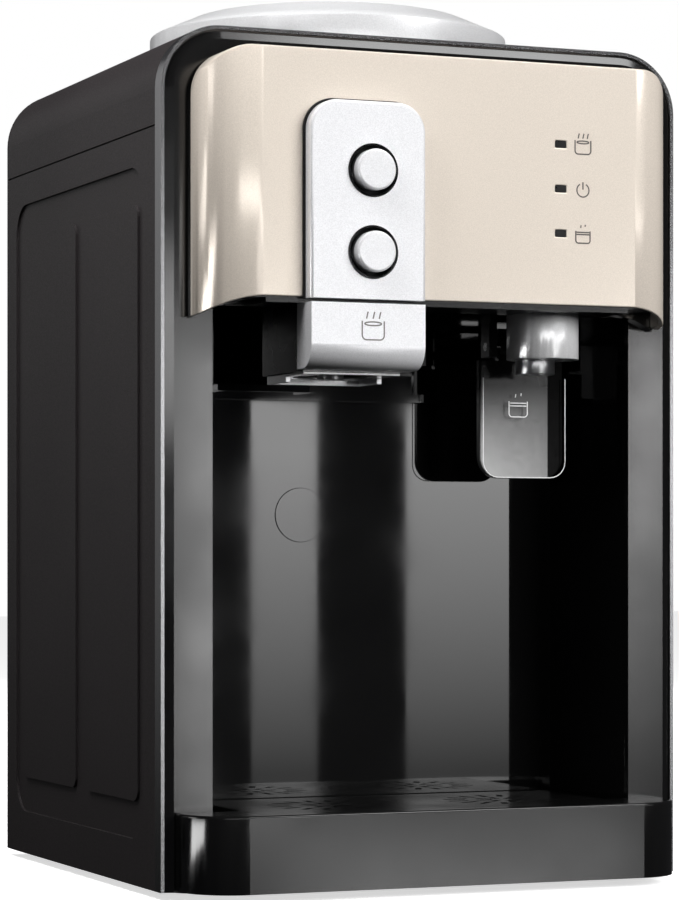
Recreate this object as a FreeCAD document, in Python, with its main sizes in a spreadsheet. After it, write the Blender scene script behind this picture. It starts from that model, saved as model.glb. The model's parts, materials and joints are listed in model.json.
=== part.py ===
import FreeCAD, Part
import math
import os
import re
import Sketcher
from FreeCAD import Placement, Rotation, Vector

# Countertop water dispenser: a bottle sits on the collar on top, its water runs into a
# reservoir, and from there to a push-paddle tap and through a small boiler to a hot tap.
#
# Part frame, millimetres: +X to the user's right, +Y away from the user, +Z up, origin on
# the surface the feet stand on, below the middle of the whole object. Each sub-part is
# drawn in the casing's own frame, with Y = 0 on the face of the front frame and Z = 0 on
# the underside of the casing, and its Placement moves it into the part frame.

DIMENSIONS = {
    # casing
    "case_width": 252.6, "case_depth": 234.0, "case_height": 380.0, "crown_radius": 28.0,
    "wall": 3.0, "foot_height": 3.0, "face_offset": 102.75, "seam_height": 336.2, "seam_gap": 0.8,
    "trim_depth": 8.3, "trim_width": 1.6, "frame_plate": 4.0, "rear_plate": 2.6,
    "bevel_width": 4.3, "bevel_depth": 1.6,
    # embossed fields of the side panels
    "emboss_depth": 1.2, "field_front": 25.0, "field_back": 218.0, "field_low": 20.7,
    "field_top": 320.5, "island_gap": 7.0, "island_split": 113.0, "island_between": 18.0,
    "field_radius": 16.0,
    # alcove
    "alcove_half": 102.5, "alcove_depth": 64.0, "alcove_taper": 9.0, "soffit": 257.0,
    "liner_wall": 2.0, "sill": 3.0, "rail_height": 219.0,
    # fascia
    "fascia_half": 114.2, "fascia_front": 30.0, "fascia_base": 3.6, "fascia_top": 367.7,
    "fascia_low": 259.5, "fascia_tip": 251.3, "fascia_corner": 24.0, "fascia_crown": 19.0,
    "fascia_wall": 2.4, "fascia_sweep": 26.2, "gasket": 1.0, "window_x": 52.8,
    "window_height": 311.6, "window_pitch": 20.0,
    # control strip
    "strip_middle": -43.7, "strip_width": 54.4, "strip_front": 37.0, "strip_low": 258.7,
    "strip_top": 345.0, "strip_corner": 13.0, "button_middle": -41.7, "power_height": 314.8,
    "hot_height": 279.2, "button_radius": 9.0, "bezel_radius": 11.7, "bezel_bore": 10.9,
    "button_front": 42.0,
    "plunger_radius": 4.0, "plunger_end": 16.0, "running_gap": 0.05, "stem_radius": 2.5,
    # hot tap
    "spout_low": 228.5, "spout_back": 20.0, "spout_roll": 10.5, "outlet_half": 23.3,
    "outlet_front": 12.0, "outlet_back": 32.0, "outlet_low": 224.4, "outlet_top": 228.2,
    "outlet_rim": 2.4, "outlet_middle_y": 9.0, "outlet_hole": 18.0, "nozzle_y": 12.0,
    # cold tap
    "cold_middle": 60.5, "tap_middle": 58.3, "nozzle_middle": 57.0, "nozzle_back": 5.0,
    "cold_radius": 16.5, "cold_low": 236.5, "paddle_half": 21.5,
    "paddle_low": 183.0, "paddle_y": 28.0, "paddle_thickness": 3.6, "pivot_height": 244.0,
    "pin_radius": 2.0, "cam_top": 252.5, "stem_height": 251.0, "cold_barb_y": 9.7,
    # drip tray
    "tray_half": 119.7, "tray_front": 28.5, "tray_low": 0.8, "tray_top": 34.8,
    "tray_corner": 24.0, "tray_inner_half": 90.0, "tray_back": 60.0, "grille_thickness": 2.2,
    # bottle seat
    "seat_middle_y": 117.0, "collar_radius": 86.0, "collar_wall_top": 395.7,
    "collar_rim": 404.0, "rim_radius": 67.0, "cover_hole": 80.0, "probe_radius": 11.0,
    # water circuit
    "reservoir_radius": 62.0, "reservoir_low": 262.0, "reservoir_top": 350.0,
    "tank_x": -62.0, "tank_y": 165.0, "tank_radius": 40.0, "tank_low": 62.0,
    "tank_top": 212.0, "hose_radius": 4.5, "hose_bore": 3.0, "drain_height": 24.0,
}

doc = FreeCAD.newDocument("WaterDispenser")
sheet = doc.addObject("Spreadsheet::Sheet", "Sizes")
for row, (alias, number) in enumerate(DIMENSIONS.items(), start=1):
    sheet.set(f"A{row}", alias)
    sheet.set(f"B{row}", str(number))
    sheet.setAlias(f"B{row}", alias)
doc.recompute()

size = {alias: float(sheet.get(alias)) for alias in DIMENSIONS}
nodes = []
WORD = re.compile(r"[a-z][a-z_]+")


# ---------------------------------------------------------------- helpers

def formula(text):
    """Writes a formula of sheet aliases as FreeCAD reads it."""
    return WORD.sub(lambda m: "Sizes." + m.group() if m.group() in size else m.group(), str(text))


def bind(obj, prop, text):
    obj.setExpression(prop, formula(text))


def node(obj, label):
    """Gives a finished sub-part its label and moves it from the casing's frame."""
    obj.Label = label
    bind(obj, "Placement.Base.y", "-face_offset")
    bind(obj, "Placement.Base.z", "foot_height")
    nodes.append(obj)
    return obj


def at(obj, x, y, z):
    bind(obj, "Placement.Base.x", x)
    bind(obj, "Placement.Base.y", y)
    bind(obj, "Placement.Base.z", z)
    return obj


def box(x0, x1, y0, y1, z0, z1):
    """A block between two corners, each coordinate a formula."""
    block = doc.addObject("Part::Box", "Block")
    bind(block, "Length", f"({x1}) - ({x0})")
    bind(block, "Width", f"({y1}) - ({y0})")
    bind(block, "Height", f"({z1}) - ({z0})")
    return at(block, x0, y0, z0)


ALONG = {
    "x": Rotation(Vector(0, 1, 0), 90),
    "y": Rotation(Vector(1, 0, 0), -90),
    "z": Rotation(),
}


def rod(radius, length, x, y, z, along="z"):
    """A cylinder that starts at a point and runs towards +X, +Y or +Z."""
    cylinder = doc.addObject("Part::Cylinder", "Rod")
    bind(cylinder, "Radius", radius)
    bind(cylinder, "Height", length)
    cylinder.Placement = Placement(Vector(), ALONG[along])
    return at(cylinder, x, y, z)


def fuse(*shapes):
    joined = doc.addObject("Part::MultiFuse", "Union")
    joined.Shapes = list(shapes)
    joined.Refine = True
    return joined


def cut(base, *tools):
    difference = doc.addObject("Part::Cut", "Difference")
    difference.Base = base
    difference.Tool = tools[0] if len(tools) == 1 else fuse(*tools)
    difference.Refine = True
    return difference


def common(first, second):
    overlap = doc.addObject("Part::Common", "Overlap")
    overlap.Base = first
    overlap.Tool = second
    return overlap


def group(*solids):
    """Separate identical pieces that share one node."""
    pieces = doc.addObject("Part::Compound", "Group")
    pieces.Links = list(solids)
    return pieces


def new_body(name):
    return doc.addObject("PartDesign::Body", name)


def sketch_on(body, role, offset="0"):
    """A sketch on one of the body's origin planes, moved along the plane's normal."""
    drawing = body.newObject("Sketcher::SketchObject", "Sketch")
    plane = next(f for f in body.Origin.OriginFeatures if f.Role == role)
    drawing.AttachmentSupport = [(plane, "")]
    drawing.MapMode = "FlatFace"
    bind(drawing, "AttachmentOffset.Base.z", offset)
    return drawing


def rectangle(drawing, x0, x1, y0, y1):
    """A rectangle held by the distances of two corners from the sketch origin."""
    corners = [Vector(0, 0, 0), Vector(9, 0, 0), Vector(9, 9, 0), Vector(0, 9, 0)]
    sides = [Part.LineSegment(corners[i], corners[(i + 1) % 4]) for i in range(4)]
    first = drawing.addGeometry(sides, False)[0]
    rules = [Sketcher.Constraint("Coincident", first + i, 2, first + (i + 1) % 4, 1) for i in range(4)]
    rules += [Sketcher.Constraint(kind, first + i) for i, kind in
              enumerate(("Horizontal", "Vertical", "Horizontal", "Vertical"))]
    drawing.addConstraint(rules)
    for kind, point, text in (("DistanceX", 1, x0), ("DistanceY", 1, y0),
                              ("DistanceX", 2, x1), ("DistanceY", 3, y1)):
        corner = {1: (first, 1), 2: (first, 2), 3: (first + 1, 2)}[point]
        start = 0.0 if point == 1 else 9.0
        index = drawing.addConstraint(Sketcher.Constraint(kind, -1, 1, corner[0], corner[1], start))
        bind(drawing, f"Constraints[{index}]", text)


def circle(drawing, x, y, radius):
    """A circle held by its centre's distances from the sketch origin and its radius."""
    ring = drawing.addGeometry(Part.Circle(Vector(5, 5, 0), Vector(0, 0, 1), 3.0), False)
    for rule, text in ((Sketcher.Constraint("Radius", ring, 3.0), radius),
                       (Sketcher.Constraint("DistanceX", -1, 1, ring, 3, 5.0), x),
                       (Sketcher.Constraint("DistanceY", -1, 1, ring, 3, 5.0), y)):
        index = drawing.addConstraint(rule)
        bind(drawing, f"Constraints[{index}]", text)


def pad(body, drawing, length, reverse=False):
    feature = body.newObject("PartDesign::Pad", "Pad")
    feature.Profile = drawing
    bind(feature, "Length", length)
    feature.Reversed = reverse
    return feature


def pocket(body, drawing, depth, reverse=False):
    feature = body.newObject("PartDesign::Pocket", "Pocket")
    feature.Profile = drawing
    bind(feature, "Length", depth)
    feature.Reversed = reverse
    return feature


def edges_where(shape, test):
    """Names of the edges whose two end points pass a test."""
    names = []
    for number, edge in enumerate(shape.Edges, start=1):
        if len(edge.Vertexes) == 2 and test(*[v.Point for v in edge.Vertexes]):
            names.append(f"Edge{number}")
    return names


def fillet(body, base, test, radius):
    """Rounds the edges of a body's last feature that pass a test."""
    doc.recompute()
    feature = body.newObject("PartDesign::Fillet", "Fillet")
    feature.Base = (base, edges_where(base.Shape, test))
    bind(feature, "Radius", radius)
    doc.recompute()
    return feature


def near(a, b):
    return abs(a - b) < 0.01


def shaped(label, shape):
    """A sub-part whose shape comes from Part's own functions."""
    feature = doc.addObject("Part::Feature", label)
    feature.Shape = shape
    return node(feature, label)


# ---------------------------------------------------------------- casing

def arch(name, inset, low, front, back):
    """A plate across the casing whose two upper corners follow the crown."""
    body = new_body(name)
    drawing = sketch_on(body, "XZ_Plane", f"-({front})")
    half = f"case_width / 2 - {inset}"
    rectangle(drawing, f"-({half})", half, low, f"case_height - {inset}")
    plate = pad(body, drawing, f"({back}) - ({front})", reverse=True)
    doc.recompute()
    height = plate.Shape.BoundBox.ZMax
    fillet(body, plate, lambda a, b: near(a.x, b.x) and near(a.z, height) and near(b.z, height),
           f"crown_radius - {inset}")
    return body


def wedge(half, taper, front, back, low, top):
    """A block that narrows by a taper on each side from its front to its back."""
    block = doc.addObject("Part::Wedge", "Wedge")
    for prop, text in (("Xmin", f"-({half})"), ("Xmax", half),
                       ("X2min", f"-({half} - ({taper}))"), ("X2max", f"{half} - ({taper})"),
                       ("Ymin", front), ("Ymax", back), ("Zmin", low), ("Zmax", top),
                       ("Z2min", low), ("Z2max", top)):
        bind(block, prop, text)
    return block


def front_frame():
    body = arch("front_frame", "trim_width", "0", "0", "trim_depth")
    opening = sketch_on(body, "XZ_Plane")
    rectangle(opening, "-alcove_half", "alcove_half", "sill", "soffit")
    pocket(body, opening, "trim_depth")
    hollow = sketch_on(body, "XZ_Plane", "-frame_plate")
    inner = "case_width / 2 - trim_width - wall"
    rectangle(hollow, f"-({inner})", inner, "sill", "case_height - trim_width - crown_radius / 2")
    pocket(body, hollow, "trim_depth - frame_plate")
    valve_hole = sketch_on(body, "XZ_Plane")
    circle(valve_hole, "button_middle", "hot_height", "10.4")
    last = pocket(body, valve_hole, "trim_depth")
    doc.recompute()
    half = last.Shape.BoundBox.XMax
    top = last.Shape.BoundBox.ZMax

    def outer(p):
        return near(p.y, 0) and (near(abs(p.x), half) or near(p.z, top))

    bevel = body.newObject("PartDesign::Chamfer", "Bevel")
    bevel.Base = (last, edges_where(last.Shape, lambda a, b: outer(a) and outer(b) and a.z + b.z > 1))
    bevel.ChamferType = "Two distances"
    bind(bevel, "Size", "bevel_depth")
    bind(bevel, "Size2", "bevel_width")
    doc.recompute()
    node(body, "front_frame")


def silver_trim():
    outer = arch("TrimOuter", "0", "0", "0.4", "trim_depth")
    inner = arch("TrimInner", "trim_width", "-1", "0", "trim_depth + 1")
    node(cut(outer, inner), "silver_trim")


def side_panel(label, side):
    """A flat panel with a shallow rounded field and two islands left standing in it."""
    body = new_body("Panel")
    outer = f"{side} * case_width / 2"
    blank = sketch_on(body, "YZ_Plane", outer)
    rectangle(blank, "trim_depth", "case_depth - rear_plate", "0", "seam_height")
    pad(body, blank, "wall", reverse=side > 0)
    field = sketch_on(body, "YZ_Plane", outer)
    rectangle(field, "field_front", "field_back", "field_low", "field_top")
    low, top = "field_low + 17", "field_top - 17"
    rectangle(field, "field_front + island_gap", "island_split - island_between / 2", low, top)
    rectangle(field, "island_split + island_between / 2", "field_back - 2 * island_gap", low, top)
    recess = pocket(body, field, "emboss_depth", reverse=side < 0)
    rounded = fillet(body, recess, field_corner, "field_radius")
    fillet(body, rounded, island_corner, "field_radius / 3")
    seam = box(f"{outer} - 1", f"{outer} + 1", "trim_depth - 1", "case_depth",
               "seam_height - seam_gap", "seam_height + 1")
    node(cut(body, seam), label)


def field_corner(a, b):
    on_side = near(a.y, size["field_front"]) or near(a.y, size["field_back"])
    on_end = near(a.z, size["field_low"]) or near(a.z, size["field_top"])
    return near(a.y, b.y) and near(a.z, b.z) and on_side and on_end


def island_corner(a, b):
    on_end = near(a.z, size["field_low"] + 17) or near(a.z, size["field_top"] - 17)
    return near(a.y, b.y) and near(a.z, b.z) and on_end


def top_cover():
    outer = arch("CoverOuter", "0", "seam_height", "trim_depth", "case_depth - rear_plate")
    inner = arch("CoverInner", "wall", "seam_height - 1", "trim_depth - 1", "case_depth")
    well = rod("cover_hole", "20", "0", "seat_middle_y", "case_height - 10")
    node(cut(outer, inner, well), "top_cover")


SCREW_PLACES = [(f"{side} * (case_width / 2 - 8)", height) for side in (-1, 1)
                for height in ("12", "170", "326")]


def rear_panel():
    body = arch("rear_panel", "0", "0", "case_depth - rear_plate", "case_depth")
    holes = sketch_on(body, "XZ_Plane", "-(case_depth - rear_plate)")
    for column in (-1, 1):
        for step in range(9):
            low = f"case_height * 0.55 + {step * 9}"
            rectangle(holes, f"{column} * 54 - 34", f"{column} * 54 + 34", low, f"{low} + 3.5")
    circle(holes, "tank_x", "drain_height", "8")
    circle(holes, "70", "drain_height", "5")
    for x, height in SCREW_PLACES:
        circle(holes, x, height, "1.45")
    pocket(body, holes, "rear_plate")
    node(body, "rear_panel")


def base_pan():
    """A floor with an upstand round the boiler bay, open below for the drip tray."""
    edge = "case_width / 2 - wall - 0.2"
    slab = box(f"-({edge})", edge, "trim_depth", "case_depth - rear_plate", "0", "wall")
    front = "alcove_depth + 4"
    bay = box(f"-({edge})", edge, front, "case_depth - rear_plate", "0", "14")
    room = box(f"-({edge} - 2.5)", f"{edge} - 2.5", f"{front} + 2.5",
               "case_depth - rear_plate - 2.5", "wall", "20")
    spout_way = rod("6.2", "20", "tank_x", "case_depth - 20", "drain_height", "y")
    screw_ways = [rod("1.45", "20", x, "case_depth - 15", height, "y") for x, height in SCREW_PLACES[::3]]
    node(cut(fuse(slab, bay), room, spout_way, *screw_ways), "base_pan")


def alcove_liner():
    back = "alcove_depth"
    shell = wedge("alcove_half + liner_wall", "alcove_taper", "frame_plate",
                  f"{back} + liner_wall", "sill", "soffit + liner_wall")
    room = wedge("alcove_half", "alcove_taper", "frame_plate", back, "sill - 1", "soffit")
    rail = wedge("alcove_half - alcove_taper + 1", "1", f"{back} - 4", f"{back} + 1",
                 "rail_height", "rail_height + 4")
    disc = rod("12.6", "1", "-35.5", f"{back} - 0.6", "166", "y")
    cold_hole = rod("5.2", "20", "cold_middle", "cold_barb_y", "soffit - 1")
    hot_hole = rod("6.4", "20", "button_middle", "nozzle_y", "soffit - 1")
    node(cut(fuse(cut(shell, room), rail, disc), cold_hole, hot_hole), "alcove_liner")


def feet():
    """Four rubber discs under the corners of the base pan."""
    reach = "case_width / 2 - 24"
    places = [(f"{sx} * ({reach})", y) for sx in (-1, 1) for y in ("30", "case_depth - 26")]
    node(group(*[rod("9", "foot_height", x, y, "-foot_height") for x, y in places]), "feet")


def rear_screws():
    """Round-headed screws that hold the rear panel."""
    screws = [fuse(rod("3.2", "1.6", x, "case_depth", height, "y"),
                   rod("1.4", "10", x, "case_depth - 10", height, "y")) for x, height in SCREW_PLACES]
    node(group(*screws), "rear_screws")


front_frame()
silver_trim()
side_panel("side_panel_left", -1)
side_panel("side_panel_right", 1)
top_cover()
rear_panel()
base_pan()
alcove_liner()
feet()


# ---------------------------------------------------------------- fascia and controls

def fascia_plan(inset, low, top):
    """A block with the fascia's rounded plan, drawn in by an inset."""
    body = new_body("Plan")
    drawing = sketch_on(body, "XY_Plane", low)
    half = f"fascia_half - ({inset})"
    rectangle(drawing, f"-({half})", half, f"-fascia_front + ({inset})", "0")
    block = pad(body, drawing, f"({top}) - ({low})")
    doc.recompute()
    front = block.Shape.BoundBox.YMin
    fillet(body, block, lambda a, b: near(a.x, b.x) and near(a.y, front) and near(b.y, front),
           f"fascia_corner - ({inset})")
    return body


def fascia_profile(inset, lift, front, back):
    """The fascia's front outline: round upper corners and ends that sweep down below."""
    body = new_body("Profile")
    drawing = sketch_on(body, "XZ_Plane", f"-({front})")
    half = f"fascia_half - ({inset})"
    rectangle(drawing, f"-({half})", half, f"fascia_tip + ({lift})", f"fascia_top - ({inset})")
    block = pad(body, drawing, f"({back}) - ({front})", reverse=True)
    doc.recompute()
    top = block.Shape.BoundBox.ZMax
    fillet(body, block, lambda a, b: near(a.x, b.x) and near(a.z, top) and near(b.z, top),
           f"fascia_crown - ({inset})")
    drop = "(fascia_low - fascia_tip)"
    radius = f"(fascia_sweep * fascia_sweep + {drop} * {drop}) / (2 * {drop})"
    start = "fascia_half - fascia_sweep"
    length = f"({back}) - ({front})"
    sweeps = [rod(radius, length, f"{side} * ({start})", front, f"fascia_low + ({lift}) - {radius}", "y")
              for side in (-1, 1)]
    flat = box(f"-({start})", start, front, back, "fascia_tip - 20", f"fascia_low + ({lift})")
    return cut(body, flat, *sweeps)


def strip_window(inset, front, back):
    """The way through the fascia behind the control strip."""
    half = f"(strip_width / 2 - {inset})"
    return box(f"strip_middle - {half}", f"strip_middle + {half}", front, back,
               f"strip_low + {inset}", f"strip_top - {inset}")


def window_blocks(grow, front, back):
    """The three indicator windows, or the holes for them."""
    return [box(f"window_x - 2.7 - {grow}", f"window_x + 2.7 + {grow}", front, back,
                f"window_height + {step} * window_pitch - 1.6 - {grow}",
                f"window_height + {step} * window_pitch + 1.6 + {grow}") for step in (-1, 0, 1)]


def upper_fascia():
    solid = common(fascia_plan("0", "fascia_tip - 5", "fascia_top + 5"),
                   fascia_profile("0", "0", "-fascia_front - 5", "-fascia_base"))
    hollow = common(fascia_plan("fascia_wall", "fascia_tip - 9", "fascia_top + 5"),
                    arch_block("fascia_half - fascia_wall", "fascia_tip - 9", "fascia_top - fascia_wall",
                               "fascia_crown - fascia_wall", "-fascia_front", "0"))
    shell = cut(solid, hollow, strip_window("5", "-fascia_front - 1", "-20"),
                *window_blocks("0.05", "-fascia_front - 1", "-20"))
    node(shell, "upper_fascia")


def arch_block(half, low, top, radius, front, back, middle="0"):
    """A block along Y with two round upper corners."""
    body = new_body("ArchBlock")
    drawing = sketch_on(body, "XZ_Plane", f"-({front})")
    rectangle(drawing, f"{middle} - ({half})", f"{middle} + ({half})", low, top)
    block = pad(body, drawing, f"({back}) - ({front})", reverse=True)
    doc.recompute()
    height = block.Shape.BoundBox.ZMax
    fillet(body, block, lambda a, b: near(a.x, b.x) and near(a.z, height) and near(b.z, height), radius)
    return body


def fascia_backing():
    """The black box behind the fascia that carries the controls and closes its underside."""
    rear = fascia_profile("1", "-1", "-fascia_base", "0")
    rear_low = box("-fascia_half + fascia_sweep", "fascia_half - fascia_sweep", "-fascia_base", "0",
                   "soffit", "fascia_low")
    inset = "fascia_wall + 0.2"
    front = common(fascia_plan(inset, "soffit - 9", "fascia_top"),
                   arch_block(f"fascia_half - ({inset})", "fascia_low - 0.5", f"fascia_top - ({inset})",
                              f"fascia_crown - ({inset})", "-fascia_front", "-fascia_base"))
    floor_half = "fascia_half - fascia_sweep"
    floor = box(f"-({floor_half})", floor_half, f"-fascia_front + {inset}", "-fascia_base",
                "soffit", "fascia_low")
    room = box("-fascia_half + 10", "fascia_half - 10", "-fascia_front + 5", "-2.4",
               "soffit + 3", "fascia_top - 6")
    valve_way = rod("10.4", "9", "button_middle", "-5", "hot_height", "y")
    body = fuse(rear, rear_low, front, floor)
    shell = cut(body, room, valve_way, strip_window("5", "-fascia_front", "-20"),
                *window_blocks("0.05", "-fascia_front", "-20"))
    node(shell, "fascia_backing")


def control_strip():
    front, back = "-strip_front", "-fascia_front - gasket"
    blank = arch_block("strip_width / 2", "strip_low", "strip_top", "strip_corner", front, back,
                       "strip_middle")
    tip = blank.Tip
    face = tip.Shape.BoundBox.YMin
    low = tip.Shape.BoundBox.ZMin
    fillet(blank, tip, lambda a, b: near(a.y, face) and near(b.y, face) and a.z + b.z > 2 * low + 1,
           "1.4")
    hollow = arch_block("strip_width / 2 - 2.4", "strip_low + 2.4", "strip_top - 2.4",
                        "strip_corner - 2.4", "-strip_front + 2.4", back, "strip_middle")
    holes = [rod("bezel_radius", "12", "button_middle", "-strip_front - 2", height, "y")
             for height in ("power_height", "hot_height")]
    node(cut(blank, hollow, *holes), "control_strip")


def strip_gasket():
    plate = arch_block("strip_width / 2 + 1.1", "strip_low", "strip_top + 1.1", "strip_corner + 1.1",
                       "-fascia_front - gasket", "-fascia_front", "strip_middle")
    node(cut(plate, strip_window("5", "-fascia_front - 5", "-20")), "strip_gasket")


def button(label, height):
    """A flanged round cap on a plunger that runs in the carrier."""
    cap = rod("button_radius", "7.5", "button_middle", "-button_front", height, "y")
    doc.recompute()
    rounded = doc.addObject("Part::Fillet", "Cap")
    rounded.Base = cap
    rims = [n for n, edge in enumerate(cap.Shape.Edges, start=1)
            if near(edge.BoundBox.YMax, -size["button_front"])]
    rounded.Edges = [(n, 1.2, 1.2) for n in rims]
    shank = rod("plunger_radius", "button_front - 7 - plunger_end", "button_middle",
                "-button_front + 7", height, "y")
    node(fuse(rounded, shank), label)


def button_spring(label, height):
    """A compression spring round a plunger, from the carrier to the back of the cap."""
    start, end = -size["button_front"] + 7.5, -size["fascia_front"] + 5
    wire, turns = 0.55, 4
    helix = doc.addObject("Part::Helix", "Coil")
    helix.Radius = 5.6
    helix.Pitch = (end - start - 2 * wire - 0.2) / turns
    helix.Height = helix.Pitch.Value * turns
    section = doc.addObject("Part::RegularPolygon", "Wire")
    section.Polygon = 8
    section.Circumradius = wire
    section.Placement = Placement(Vector(5.6, 0, 0), Rotation(Vector(1, 0, 0), 90))
    coil = doc.addObject("Part::Sweep", "Spring")
    coil.Sections = [section]
    coil.Spine = (helix, [])
    coil.Solid = True
    coil.Frenet = True
    doc.recompute()
    turned = doc.addObject("Part::Compound", "Turned")
    turned.Links = [coil]
    coil.Placement = Placement(Vector(size["button_middle"], start + wire + 0.1, height), ALONG["y"])
    node(turned, label)


def button_bezels():
    rings = []
    for height in ("power_height", "hot_height"):
        outer = rod("bezel_radius", "6.4", "button_middle", "-strip_front - 0.4", height, "y")
        inner = rod("bezel_bore", "9", "button_middle", "-strip_front - 2", height, "y")
        rings.append(cut(outer, inner))
    node(group(*rings), "button_bezels")


def button_carrier():
    """A plate behind the strip with a guide bore for each plunger."""
    front = "-fascia_front + 5"
    plate = box("strip_middle - strip_width / 2", "strip_middle + strip_width / 2",
                front, f"{front} + 2.4", "strip_low + 1.5", "strip_top")
    bores = [rod("plunger_radius + running_gap", "6", "button_middle", f"{front} - 1", height, "y")
             for height in ("power_height", "hot_height")]
    node(cut(plate, *bores), "button_carrier")


def power_switch():
    case = box("button_middle - 6", "button_middle + 6", "-11.5", "-2.4",
               "power_height - 6", "power_height + 6")
    tongue = box("button_middle - 2", "button_middle + 2", "-12", "-11.5",
                 "power_height - 2", "power_height + 2")
    node(fuse(case, tongue), "power_switch")


def indicators():
    node(group(*window_blocks("0", "-fascia_front + 0.3", "-fascia_front + 5")), "indicator_windows")
    board = box("window_x - 8", "window_x + 20", "-21", "-19.4",
                "window_height - 30", "window_height + 30")
    posts = [rod("2.5", "17.1", "window_x + 16", "-19.5", f"window_height + {step} * 26", "y")
             for step in (-1, 1)]
    lamps = window_blocks("-0.4", "-24.8", "-20.9")
    node(fuse(board, *posts, *lamps), "indicator_board")


upper_fascia()
fascia_backing()
control_strip()
strip_gasket()
button("power_button", "power_height")
button("hot_button", "hot_height")
button_spring("power_button_spring", size["power_height"])
button_spring("hot_button_spring", size["hot_height"])
button_bezels()
button_carrier()
power_switch()
indicators()


# ---------------------------------------------------------------- hot tap

def hot_tap_housing():
    """The silver cover below the strip, rolled under at its foot."""
    body = new_body("HousingOuter")
    drawing = sketch_on(body, "XZ_Plane", "strip_front")
    half = "strip_width / 2 - 0.3"
    rectangle(drawing, f"strip_middle - ({half})", f"strip_middle + ({half})", "spout_low", "soffit")
    block = pad(body, drawing, "strip_front - spout_back", reverse=True)
    doc.recompute()
    face = block.Shape.BoundBox.YMin
    low = block.Shape.BoundBox.ZMin
    fillet(body, block, lambda a, b: near(a.z, low) and near(b.z, low) and near(a.y + b.y, 2 * face),
           "spout_roll")
    room = box("strip_middle - 24", "strip_middle + 24", "-strip_front + 3", "-spout_back + 1",
               "spout_low + 11", "soffit + 1")
    node(cut(body, room), "hot_tap_housing")


def hot_tap_body():
    """The black spout block behind the housing, open down its middle for the nozzle."""
    block = box("button_middle - 25", "button_middle + 25", "-spout_back", "outlet_back",
                "outlet_top", "soffit")
    throat = rod("14", "60", "button_middle", "nozzle_y", "outlet_low")
    node(cut(block, throat), "hot_tap_body")


def hot_outlet_ring():
    """A silver plate under the spout block with a round opening and a lip round its back."""
    left, right = "button_middle + 0.5 - outlet_half", "button_middle + 0.5 + outlet_half"
    ceiling = "outlet_top - 1.2"
    lip_front = "outlet_back - outlet_rim"
    plate = box(left, right, "-outlet_front", "outlet_back", ceiling, "outlet_top")
    back = box(left, right, lip_front, "outlet_back", "outlet_low", "outlet_top")
    sides = [box(left, f"{left} + outlet_rim", "outlet_middle_y", "outlet_back", "outlet_low", "outlet_top"),
             box(f"{right} - outlet_rim", right, "outlet_middle_y", "outlet_back", "outlet_low", "outlet_top")]
    hole = rod("outlet_hole", "9", "button_middle", "outlet_middle_y", "outlet_low - 1")
    node(cut(fuse(plate, back, *sides), hole), "hot_outlet_ring")


def hot_valve():
    valve = rod("10", "33", "button_middle", "-11", "hot_height", "y")
    spout = rod("6", "16", "button_middle", "nozzle_y", "soffit + 3")
    tail = rod("hose_radius", "8", "button_middle", "22", "hot_height", "y")
    stem_bore = rod("stem_radius + running_gap", "18", "button_middle", "-12", "hot_height", "y")
    water_way = rod("hose_bore", "18", "button_middle", "nozzle_y", "soffit + 2")
    tail_bore = rod("hose_bore", "22", "button_middle", "9", "hot_height", "y")
    node(cut(fuse(valve, spout, tail), stem_bore, water_way, tail_bore), "hot_valve_body")
    node(group(rod("stem_radius", "plunger_end", "button_middle", "-plunger_end", "hot_height", "y")),
         "hot_valve_stem")
    tube = rod("6", "soffit + 3 - outlet_low - 1.6", "button_middle", "nozzle_y", "outlet_low + 1.6")
    bore = rod("hose_bore + 1", "60", "button_middle", "nozzle_y", "outlet_low")
    node(cut(tube, bore), "hot_nozzle")


# ---------------------------------------------------------------- cold tap

def cold_tap():
    cover = rod("cold_radius", "soffit - cold_low", "tap_middle", "0", "cold_low")
    room = rod("cold_radius - 1.5", "soffit - cold_low", "tap_middle", "0", "cold_low + 1.5")
    mouth = rod("9.2", "9", "nozzle_middle", "nozzle_back", "cold_low - 2")
    slot = box("cold_middle - 5.5", "cold_middle + 5.5", "5", "cold_radius + 1",
               "stem_height - 6", "soffit + 1")
    node(cut(cover, room, mouth, slot), "cold_tap_cover")
    nozzle = rod("9", "10", "nozzle_middle", "nozzle_back", "cold_low - 6.5")
    bore = rod("6", "12", "nozzle_middle", "nozzle_back", "cold_low - 7")
    node(cut(nozzle, bore), "cold_nozzle")
    chamber = rod("11", "16.6", "tap_middle", "0", "cold_low + 3.5")
    tail = rod("hose_radius", "12", "cold_middle", "cold_barb_y", "250")
    outlet = rod("5", "9", "nozzle_middle", "nozzle_back", "cold_low + 2")
    inlet = rod("hose_bore", "15", "cold_middle", "cold_barb_y", "252")
    stem_bore = rod("pin_radius + running_gap", "20", "cold_middle", "2", "stem_height", "y")
    node(cut(fuse(chamber, tail), outlet, inlet, stem_bore), "cold_valve_body")
    stem = rod("pin_radius", "21.6", "cold_middle", "4", "stem_height", "y")
    node(group(stem), "cold_valve_stem")


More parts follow.
